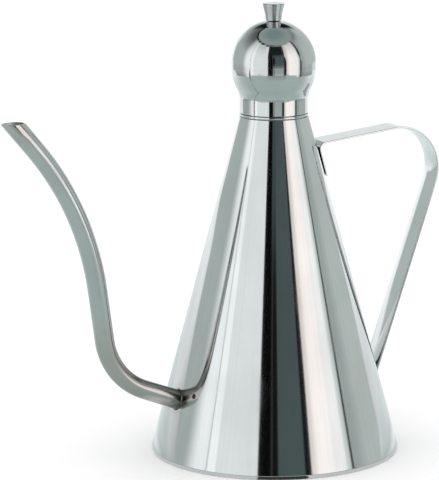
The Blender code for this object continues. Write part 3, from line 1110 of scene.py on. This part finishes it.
@dataclass
class Studio:
    """Camera, soft light and floor, with angles in degrees."""

    azimuth: float = -26.5
    elevation: float = 11.644
    distance: float = 1.3
    look_height: float = 88.05 * MM
    aside: float = 0.9896
    roll: float = -0.12
    lens: float = 259.16
    sensor: float = 36.0
    table_front: float = 640 * MM
    table_side: float = 520 * MM
    table_rear: float = 4000 * MM
    sweep_radius: float = 400 * MM
    lean_start: float = 14.5
    lean_rise: float = 5.5
    right: Vector = field(init=False)
    toward: Vector = field(init=False)
    back: Vector = field(init=False)

    def __post_init__(self) -> None:
        """Works out the photographer's directions."""
        turn, tilt = math.radians(self.azimuth), math.radians(self.elevation)
        self.right = Vector((math.cos(turn), math.sin(turn), 0))
        self.toward = Vector((math.sin(turn), -math.cos(turn), 0))
        self.back = self.toward * math.cos(tilt) + Vector((0, 0, math.sin(tilt)))

    def camera(self) -> None:
        """Places the camera where the photograph was taken."""
        data = bpy.data.cameras.new("photo_camera")
        data.sensor_fit = "HORIZONTAL"
        data.sensor_width = self.sensor
        data.lens = self.lens
        data.clip_start = 50 * MM
        eye = bpy.data.objects.new("photo_camera", data)
        bpy.context.scene.collection.objects.link(eye)
        aside, roll = math.radians(self.aside), math.radians(self.roll)
        up = self.back.cross(self.right)
        behind = self.back * math.cos(aside) + self.right * math.sin(aside)
        across = up.cross(behind)
        side = across * math.cos(roll) + up * math.sin(roll)
        over = behind.cross(side)
        pose = eye.matrix_world.to_3x3()
        for column, axis in enumerate((side, over, behind)):
            for row in range(3):
                pose[row][column] = axis[row]
        eye.matrix_world = pose.to_4x4()
        eye.location = Vector((0, 0, self.look_height)) + self.back * self.distance
        bpy.context.scene.camera = eye

    def zones(self) -> list[Zone]:
        """The studio's wall from behind the can, leftward round by the camera, to behind again.

        Returns:
            Its zones in order.
        """
        return [
            Zone(-180, 0, Tint.COOL.at(0.85)),
            Zone(-168, 4, Tint.GREEN.at(0.56)),
            Zone(-86, 10, Tint.COOL.at(1.2)),
            Zone(-66.9, 0.5, Tint.COOL.at(0.5)),
            Zone(-65.8, 0.5, Tint.COOL.at(1.28)),
            Zone(-57, 1.5, Tint.COOL.at(1.03)),
            Zone(-15.8, 0.5, Tint.COOL.at(0.004), 0.2),
            Zone(-3.6, 0.6, Tint.COOL.at(0.045)),
            Zone(-1.9, 0.6, Tint.COOL.at(0.008)),
            Zone(3.4, 1.1, Tint.SLATE.at(0.115)),
            Zone(28.8, 0.5, Tint.SLATE.at(0.01)),
            Zone(34.8, 0.8, Tint.WARM.at(0.9), 0.62),
            Zone(40, 4, Tint.WARM.at(1.28)),
            Zone(57, 6, Tint.PLAIN.at(1.22)),
            Zone(71, 2.5, Tint.GREEN.at(0.85)),
            Zone(75.6, 1.0, Tint.GREEN.at(0.5), 0.4),
            Zone(76.6, 0.5, Tint.GREEN.at(0.04), 0.4),
            Zone(78.8, 0.5, Tint.GREEN.at(0.5), 0.4),
            Zone(92, 8, Tint.GREEN.at(0.66)),
            Zone(168, 4, Tint.COOL.at(0.85)),
        ]

    def wall(self, net: Net, azimuth: Wire, elevation: Wire) -> Wire:
        """Paints the standing screens round the can, with the open side behind it.

        Args:
            net: The world's tree.
            azimuth: Bearing from the camera, rightward, in degrees.
            elevation: Height over the horizon, in degrees.

        Returns:
            The screens' colour.
        """
        above = net.math("MAXIMUM", elevation - self.lean_start, 0.0)
        rise = net.math("MINIMUM", above, self.lean_rise)
        zones = self.zones()
        wall: Value = zones[0].colour
        for zone in zones[1:]:
            bearing = azimuth + rise * zone.lean if zone.lean else azimuth
            past = net.ramp(bearing, zone.start - zone.soft, zone.start + zone.soft)
            wall = net.mix(past, wall, zone.colour)
        low = net.ramp(azimuth, -3, 0) * net.ramp(azimuth, 28, 26) * net.ramp(elevation, 4, -6)
        glow = net.mix(net.ramp(elevation, -4, -11), Tint.GREEN.at(0.17), Tint.GREEN.at(0.58))
        wall = net.mix(low, wall, glow)
        for patch in self.patches():
            wall = patch.over(net, azimuth, elevation, wall)
        return wall

    def patches(self) -> list[Patch]:
        """What dims or lights parts of the wall.

        Returns:
            The patches, each laid over the ones before it.
        """
        post = ((3.0, 2.4),)
        return [
            # Both lit sides fade upward
            Patch(Tint.PLAIN.at(0.3), ((17, 30), (150, 120)), ((14, 60),), 0.5, 0),
            # Over the camera: a narrow column, then the dark above it
            Patch(Tint.SLATE.at(0.09), ((-5, -3.6), (4.2, 2.6)), ((17.4, 19),)),
            Patch(Tint.SLATE.at(0.018), ((-16, -14), (31, 28.5)), ((20, 31),)),
            # A stand under the camera
            Patch(Tint.COOL.at(0.2), ((1.3, 0.7),), ((-4, -6),), middle=1.5),
            # The sides' shaded feet
            Patch(Tint.GREEN.at(0.2), ((70, 85),), ((-5, -14),), 0.5, 0),
            # The dark tops on the left and the right
            Patch(Tint.COOL.at(0.06), ((-65, -100),), ((14, 56),), 0.85),
            Patch(Tint.GREEN.at(0.1), ((82, 100),), ((40, 50),), 0.5),
            # A post on the right, below and above its lit stretch
            Patch(Tint.COOL.at(0.02), post, ((7, 5),), middle=78.3),
            Patch(Tint.COOL.at(0.02), post, ((15, 17),), middle=78.3),
            # Behind the can: the dark over the open side, and the bright foot
            Patch(Tint.COOL.at(0.012), ((144, 156),), ((30, 38),), middle=0),
            Patch(Tint.PLAIN.at(1.02), ((162, 170),), ((14, 8),), middle=0),
            # The bright floor's ends on the left and the right
            Patch(Tint.COOL.at(0.85), ((-139, -143),), ((-5, -6.5),)),
            Patch(Tint.COOL.at(0.85), ((126, 129),), ((-5, -7),)),
        ]

    def world(self) -> None:
        """Lights the can with a soft room: bright sides, a dark gap by the camera, a dim ceiling."""
        world = bpy.data.worlds.new("soft_studio")
        bpy.context.scene.world = world
        world.use_nodes = True
        world.cycles.sampling_method = "NONE"
        net = Net(world.node_tree)
        ray = net.add("ShaderNodeTexCoord", output="Generated")
        up = net.add("ShaderNodeSeparateXYZ", None, {0: ray}, "Z")
        azimuth = self.bearing(net, ray)
        elevation = net.math("ARCSINE", up) * math.degrees(1)
        wall = self.wall(net, azimuth, elevation)
        # Faint upright streaks
        drawn = net.add("ShaderNodeCombineXYZ", None, {"X": azimuth * 0.6, "Y": elevation * 0.04})
        streaks = net.ramp(net.noise(drawn, 3.0, 0.7), 0.45, 0.75)
        wall = net.mix(streaks * 0.1, wall, Tint.PLAIN.at(0.0))
        # The ceiling, lowest on the right, and the dark line under its edge on the left
        rim = 56 - net.math("COSINE", (azimuth - 40) * math.radians(1)) * 4.5
        edge = net.ramp(azimuth, -14, -22) * net.ramp(elevation, rim - 4.5, rim - 3)
        wall = net.mix(edge, wall, Tint.COOL.at(0.01))
        low, high = (0.33, 0.40, 0.40), (0.22, 0.31, 0.305)
        ceiling = net.mix(net.ramp(elevation, 60, 80), low, high)
        wall = net.mix(net.ramp(elevation, rim - 0.7, rim + 0.7), wall, ceiling)
        # White behind the picture, this room in reflections, plain light on what is matt
        camera = net.ray("Is Camera Ray")
        seen = camera + net.ray("Is Glossy Ray") + net.ray("Is Transmission Ray")
        picture = net.mix(camera, wall, Tint.PLAIN.at(1.0))
        plain = net.mix(net.ramp(up, -0.2, 1.0), Tint.PLAIN.at(0.62), Tint.PLAIN.at(1.25))
        shade = net.mix(seen, plain, picture)
        background = net.add("ShaderNodeBackground", None, {"Color": shade, "Strength": 1.0})
        net.add("ShaderNodeOutputWorld", None, {"Surface": background})

    def bearing(self, net: Net, place: Wire) -> Wire:
        """Bearing of a place or a direction from the camera, rightward, in degrees."""
        side, front = net.along(place, self.right), net.along(place, self.toward)
        return net.math("ARCTAN2", side, front) * math.degrees(1)

    def floor(self) -> None:
        """Lays the pale table, which ends at the screens and runs far back behind the can."""
        side, front, rear = self.table_side, self.table_front, -self.table_rear
        corners = [(-side, front), (side, front), (side, rear), (-side, rear)]
        shape = bmesh.new()
        shape.faces.new([shape.verts.new(self.right * x + self.toward * y) for x, y in corners])
        floor = settle("floor", shape)
        made, net = blank("pale_floor")
        place = net.add("ShaderNodeTexCoord", output="Object")
        away = net.vector("LENGTH", place, output="Value")
        frontward = net.along(place, self.toward) / (away + MM)
        sideward = net.along(place, self.right) / (away + MM)
        # Painted light and shade: bright behind the can and more so far back, with a slight painted
        # shade on the left
        shade = net.ramp(sideward, -0.15, -0.6) * net.ramp(away, *mm(120, 200)) * 0.3
        behind = net.ramp(frontward, 0.2, -0.8) * (1 - shade)
        bright = behind * (0.52 + net.ramp(away, *mm(280, 550)) * 0.48)
        front_tone = (0.41, 0.505, 0.49)
        tone = net.mix(bright, front_tone, Tint.COOL.at(1.1))
        # Painted shade far in front, on the camera's side
        middle = net.ramp(sideward, -0.4, -0.2) * net.ramp(sideward, 0.62, 0.5)
        dim = net.ramp(frontward, 0, 0.4) * middle * net.ramp(away, *mm(260, 500))
        tone = net.mix(dim, tone, Tint.GREEN.at(0.36))
        # Painted light beside the foot, lifting the shade that falls on the floor there
        painted_light_beside_foot = net.ramp(frontward, 0.3, -0.3) * net.ramp(away, *mm(100, 60))
        tone = net.mix(painted_light_beside_foot, tone, Tint.COOL.at(1.05))
        clouds = net.noise(net.vector("MULTIPLY", place, CLOUDS), 3.0)
        tone = net.mix(clouds * 0.08, tone, Tint.PLAIN.at(0.8))
        # These painted tones are for reflections only
        shiny = net.ray("Is Glossy Ray") + net.ray("Is Transmission Ray")
        colour = net.mix(net.ray("Is Camera Ray"), Tint.PLAIN.at(0.78), Tint.PLAIN.at(1.0))
        matt = net.add("ShaderNodeBsdfDiffuse", None, {"Color": net.mix(shiny, colour, tone)})
        # Painted reflection close to the foot: for reflections the floor glows there in place of its
        # shaded tone, a pale rim with a dark gap in front
        facing = net.ramp(abs(sideward - 0.066), 0.215, 0.19) * net.ramp(frontward, 0, 0.2)
        rim = net.mix(facing, Tint.COOL.at(0.72), Tint.COOL.at(0.05))
        glow = net.add("ShaderNodeEmission", None, {"Color": rim, "Strength": 1.0})
        painted_glow_near_foot = shiny * net.ramp(away, *mm(62, 54))
        shader = net.add("ShaderNodeMixShader", None, {0: painted_glow_near_foot, 1: matt, 2: glow})
        net.add("ShaderNodeOutputMaterial", None, {"Surface": shader})
        floor.data.materials.append(made)

    def sweep(self) -> None:
        """Stands a pale curved screen behind the can, which only its reflections show: a painted
        reflection that glows with its own light and lights nothing.
        """
        # Its top edge, each point as (bearing in degrees, height in millimetres)
        top = [(-98, 14), (-105, 23), (-110, 36), (-114, 50), (-118, 62), (-121, 76), (-124, 92)]
        top += [(-127, 97), (-139.5, 97), (-140.5, 135), (-142, 180), (-145, 300), (-165, 300)]
        top += [(180, 300), (170, 300), (159, 300), (157, 98), (130, 97), (128.5, 84), (128, 67)]
        top += [(126.5, 50), (121, 33), (119, 16), (117, 3)]
        shape = bmesh.new()
        columns = []
        for bearing, height in top:
            turn = math.radians(bearing)
            foot = (self.right * math.sin(turn) + self.toward * math.cos(turn)) * self.sweep_radius
            columns.append([shape.verts.new(foot + Vector((0, 0, z))) for z in mm(0, height)])
        for one, two in zip(columns, columns[1:]):
            shape.faces.new((one[0], two[0], two[1], one[1]))
        screen = settle("curved_screen", shape)
        made, net = blank("painted_reflection_screen")
        place = net.add("ShaderNodeTexCoord", output="Object")
        aside = abs(self.bearing(net, place))
        rise = net.add("ShaderNodeSeparateXYZ", None, {0: place}, "Z")
        # Painted light on the screen: brightest high at the rear, darker toward the sides, and dimmed
        # at its foot
        tone = net.mix(net.ramp(aside, 100, 130), Tint.COOL.at(0.5), Tint.COOL.at(1.05))
        upper_rear = net.ramp(aside, 140, 150) * net.ramp(rise, *mm(40, 90))
        tone = net.mix(upper_rear, tone, Tint.COOL.at(1.15))
        tone = net.mix(net.ramp(rise, *mm(70, 20)) * 0.5, tone, Tint.COOL.at(0.75))
        tone = net.mix(net.ramp(rise, *mm(180, 220)), tone, Tint.COOL.at(0.9))
        glow = net.add("ShaderNodeEmission", None, {"Color": tone, "Strength": 1.0})
        clear = net.add("ShaderNodeBsdfTransparent")
        layers = {0: net.ray("Is Glossy Ray"), 1: clear, 2: glow}
        shader = net.add("ShaderNodeMixShader", None, layers)
        net.add("ShaderNodeOutputMaterial", None, {"Surface": shader})
        screen.data.materials.append(made)

    def build(self) -> None:
        """Sets up the studio."""
        scene = bpy.context.scene
        scene.view_settings.view_transform = "Standard"
        self.camera()
        self.world()
        self.floor()
        self.sweep()
        log.info("studio: camera at azimuth %.1f, elevation %.1f", self.azimuth, self.elevation)


def main() -> None:
    """Builds the can and its studio."""
    logging.basicConfig(level=logging.INFO)
    Studio().build()
    body = Body()
    for assembly in (body, Spout(body), Handle(body), Lid(body)):
        assembly.build()


if __name__ == "__main__":
    main()
